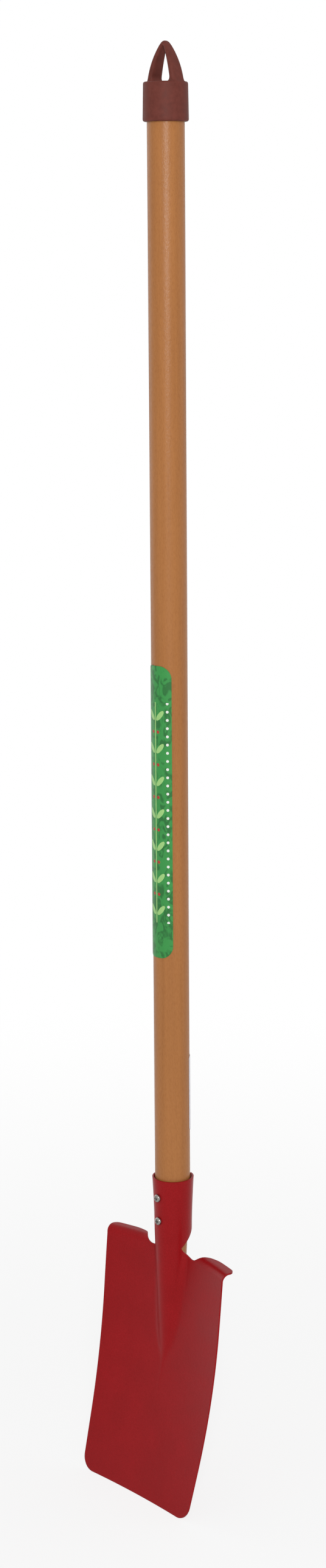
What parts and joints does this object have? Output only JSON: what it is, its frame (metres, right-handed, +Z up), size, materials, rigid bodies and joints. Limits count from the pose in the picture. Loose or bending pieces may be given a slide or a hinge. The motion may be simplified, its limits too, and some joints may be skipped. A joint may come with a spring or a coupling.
{
  "type": "childrens spade",
  "caption": "Small digging spade: a dished, forward-curving steel blade with folded treads and an open-back socket, screwed to a round wooden handle with a hanging loop cap.",
  "frame": {"origin": "top of the hole in the end cap's loop, on the handle's axis, where a peg carries the hanging spade", "axes": "+Z up along the handle, from the blade to the loop; the blade's front faces -Y and its width runs along X"},
  "size_m": [0.1134, 0.048, 0.8915],
  "materials": {
    "varnished_wood": "satin varnish over a pale hardwood stick",
    "red_enamel": "semi-gloss red powder coat with a faint orange peel",
    "brown_plastic": "satin moulded brown plastic",
    "nickel": "bright nickel plate",
    "green_film": "satin printed film",
    "white_film": "smooth white sticker"
  },
  "bodies": {
    "root": {"handle": "varnished_wood", "blade": "red_enamel", "end_cap": "brown_plastic", "socket_screw_upper": "nickel", "socket_screw_lower": "nickel", "front_label": "green_film", "rear_label": "white_film"}
  },
  "joints": []
}
